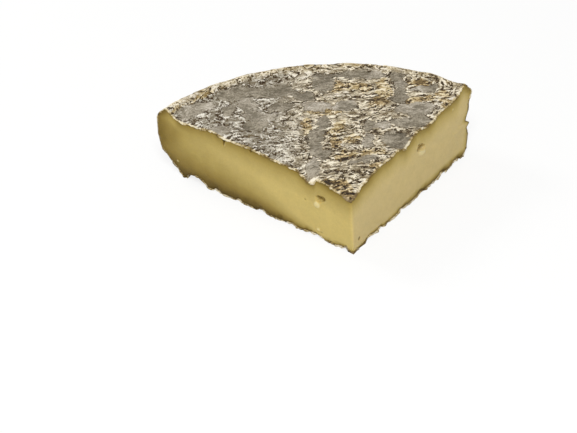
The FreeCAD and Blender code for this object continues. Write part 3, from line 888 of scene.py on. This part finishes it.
def ripenedAndShadedDepth(tree, look):
    # how deep a place lies in the cheese, counted in ripening: 0 under the rind; low on the cuts, most on
    # the left, it also holds painted shade
    def share(name):
        return addShares(tree, *ripeDepths[name], look)

    for name, (follows, *span) in ripening.items():
        look[name] = addNode(tree, "MapRange", [look[follows], *span], **smoothly)
    top = share("top")
    # darker towards the foot of the left heel and along its base than on the right: partly ripening, partly
    # painted shade on the lower part of the left cut
    footIn = addNode(tree, "MapRange", [look["z"], *ripeSizes["footIn"]])
    look["footIn"] = addNode(tree, "Math", [footIn, share("footShare")], operation="MULTIPLY")
    middle, half, deeper = ripeSizes["waist"]
    waist = ridge(tree, 0.0, [(look["z"], middle, 1.0)], half, deeper)
    look["waist"] = addNode(tree, "Math", [waist, look["right"]], operation="MULTIPLY")
    look["shoulder"] = addNode(tree, "Math", [share("shoulder"), 0.0], operation="MAXIMUM")
    look["belowRight"] = addNode(tree, "Math", [look["right"], look["below"]], operation="MULTIPLY")
    side = [share(name) for name in ("side", "sideShare", "sideStart")]
    side = addNode(tree, "Math", side, operation="MULTIPLY_ADD")
    # the further from the tip, the higher the darker band along the base reaches: partly ripening from the
    # base, partly painted shade
    beyond = addShares(tree, 0.0, [(look["fromTip"], ripeSizes["baseFrom"], 1.0)])
    beyond = addNode(tree, "Math", [beyond, ripeSizes["baseNearest"]], operation="MAXIMUM")
    look["baseFall"] = addNode(tree, "Math", [ripeSizes["baseFall"], beyond], operation="DIVIDE")
    base = addNode(tree, "Math", [share("base"), share("baseShare")], operation="MULTIPLY")
    deep = addNode(tree, "Math", [top, side, ripeSizes["sideBlend"]], operation="SMOOTH_MIN")
    return addNode(tree, "Math", [deep, base, ripeSizes["baseBlend"]], operation="SMOOTH_MIN")


def ripenedPaste():
    # soft pressed paste, ripened from the rind inwards: a dense satin that lets a little light in,
    # dark ochre under the rind and pale straw in the middle
    material, tree = newMaterial("ripenedPaste")
    place = addNode(tree, "Attribute", attribute_name="rest").outputs["Vector"]
    parts = addNode(tree, "SeparateXYZ", [place])
    flat = addNode(tree, "VectorMath", [place, noHeight], operation="MULTIPLY")
    look = {"x": parts.outputs["X"], "z": parts.outputs["Z"]}
    for name, spot in (("out", wheelMiddle / mm), ("fromTip", tip / mm)):
        look[name] = addNode(tree, "VectorMath", [flat, spot], operation="DISTANCE")
    # a slow drift of colour, and curd grain and knife drag too faint to be more than a shimmer
    for name, settings in (("drift", {"Detail": 3.0}), ("curd", {"Detail": 2.0, "Roughness": 0.7}),
                           ("mottle", {"Detail": 2.0})):
        scale = 1 / pasteLook[name + "Length"]
        look[name] = addNode(tree, "TexNoise", {"Vector": place, "Scale": scale, **settings})
    deep = ripenedAndShadedDepth(tree, look)
    share = addShares(tree, 0.0, [(deep, 0.0, 1 / pasteLook["depth"]),
                                  (look["drift"], 0.5, pasteLook["drift"])])
    color = addNode(tree, "ValToRGB", [share])
    setStops(color, pasteLook["colors"], pasteLook["places"])
    # the middle of the right cut is paler
    apart = [alongFrom(tree, place, cutFaces[cut]) for cut in ("right", "left")]
    atRight = addNode(tree, "Math", apart, operation="SUBTRACT")
    atRight = addNode(tree, "MapRange", [atRight, *pasteLook["rightSide"]], **smoothly)
    inside = addNode(tree, "MapRange", [share, *pasteLook["rightDepths"]], **smoothly)
    pale = addNode(tree, "Math", [atRight, inside], operation="MULTIPLY")
    color = addNode(tree, "Mix", {0: pale, 6: color, 7: hexColor(pasteLook["rightColor"])},
                    data_type="RGBA")
    # painted shade: the dents of the eyes and nicks are darkened brown; painted highlight: the small knobs
    # of curd are paler
    pit = addNode(tree, "Attribute", attribute_name="pit").outputs["Fac"]
    for *span, code in (pasteLook["eyes"], pasteLook["knobs"]):
        amount = addNode(tree, "MapRange", [pit, *span], **smoothly)
        color = addNode(tree, "Mix", {0: amount, 6: color, 7: hexColor(code)}, data_type="RGBA")
    shade = addShares(tree, 1.0, [(look[name], 0.5, pasteLook[name]) for name in ("curd", "mottle")])
    color = addNode(tree, "VectorMath", {0: color, "Scale": shade}, operation="SCALE")
    drag = addShares(tree, 0.0, pasteLook["drag"], look)
    grain = addNode(tree, "Bump", {
        "Height": drag, "Strength": pasteLook["grain"], "Distance": pasteLook["grainHeight"] * mm})
    shader = addNode(tree, "BsdfPrincipled", {
        "Base Color": color, "Normal": grain, "Roughness": pasteLook["roughness"],
        "Specular IOR Level": pasteLook["gloss"], "Subsurface Weight": pasteLook["light"],
        "Subsurface Scale": pasteLook["lightReach"] * mm, "Subsurface Radius": pasteLook["lightColors"]})
    addNode(tree, "OutputMaterial", [shader])
    return material


paste = makePaste()
paste.data.materials.append(ripenedPaste())
rind = makeRind()
rind.data.materials.append(mouldRind())
for piece, slotName in ((paste, "paste"), (rind, "rind")):
    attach(piece, "root")
    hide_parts("quarter_wheel")
print("pieces made")

# the floor's size in metres, its colour, how white the floor and the sky look and how much the sky lights
stageLook = {"floorSize": 4.0, "floorColor": "#f4f4f2", "white": 0.8, "sky": 1.0, "skyLight": 0.42}
seenBy = ("Is Camera Ray", "Is Glossy Ray", "Is Transmission Ray")


def seenShare(tree, amount):
    # this amount for the rays of seenBy, nothing for the light that falls on the cheese
    path = addNode(tree, "LightPath")
    return addShares(tree, 0.0, [(path.outputs[kind], 0.0, amount) for kind in seenBy])


def makeFloor():
    bpy.ops.object.select_all(action="DESELECT")
    bpy.ops.mesh.primitive_plane_add(size=stageLook["floorSize"], location=(0, 0, 0))
    floor = bpy.context.active_object
    floor.name = "floor"
    material, tree = newMaterial("paleFloor")
    body = addNode(tree, "BsdfDiffuse", {"Color": hexColor(stageLook["floorColor"])})
    white = addNode(tree, "Emission", {"Color": (1, 1, 1, 1), "Strength": 1.0})
    share = seenShare(tree, stageLook["white"])
    mixed = addNode(tree, "MixShader", {0: share, 1: body, 2: white})
    addNode(tree, "OutputMaterial", {"Surface": mixed})
    floor.data.materials.append(material)


def makeSky():
    world = bpy.data.worlds.new("studio")
    bpy.context.scene.world = world
    world.use_nodes = True
    tree = world.node_tree
    tree.nodes.clear()
    soft, seen = [addNode(tree, "Background", {"Color": (1, 1, 1, 1), "Strength": strength})
                  for strength in (stageLook["skyLight"], 1.0)]
    share = seenShare(tree, stageLook["sky"])
    mixed = addNode(tree, "MixShader", {0: share, 1: soft, 2: seen})
    addNode(tree, "OutputWorld", {"Surface": mixed})


# the lamps, in metres
lampAim = (0, 0, 0.02)
lampPlan = [
    # name, place, size across, watts
    ("keyLamp", (0.0, -0.7, 1.0), 0.35, 9.5),
    ("backLamp", (-0.55, 0.5, 0.6), 0.3, 2.6),
]


def makeLamp(name, place, size, watts):
    bpy.ops.object.light_add(type="AREA", location=place)
    lamp = bpy.context.active_object
    lamp.name = name
    lamp.data.shape = "DISK"
    lamp.data.size = size
    lamp.data.energy = watts
    lamp.rotation_euler = (Vector(lampAim) - Vector(place)).to_track_quat("-Z", "Y").to_euler()


makeFloor()
for plan in lampPlan:
    makeLamp(*plan)
makeSky()
print("stage lit")

# aim and distance in millimetres, tilts in degrees
cameraPlan = {
    "aim": (-16.77, -43.46, 15.33),
    "distance": 845.9,
    "down": 36.84,
    "roll": 4.33,
    "lens": 113.96,
}


def makeCamera():
    down = math.radians(cameraPlan["down"])
    roll = math.radians(cameraPlan["roll"])
    turn = Matrix.Rotation(math.pi / 2 - down, 4, "X") @ Matrix.Rotation(-roll, 4, "Z")
    back = Vector((0, -math.cos(down), math.sin(down))) * cameraPlan["distance"] * mm
    bpy.ops.object.camera_add()
    camera = bpy.context.active_object
    camera.name = "camera"
    camera.matrix_world = Matrix.Translation(Vector(cameraPlan["aim"]) * mm + back) @ turn
    camera.data.lens = cameraPlan["lens"]
    bpy.context.scene.camera = camera


makeCamera()
bpy.context.scene.view_settings.view_transform = "Standard"
print("camera placed")
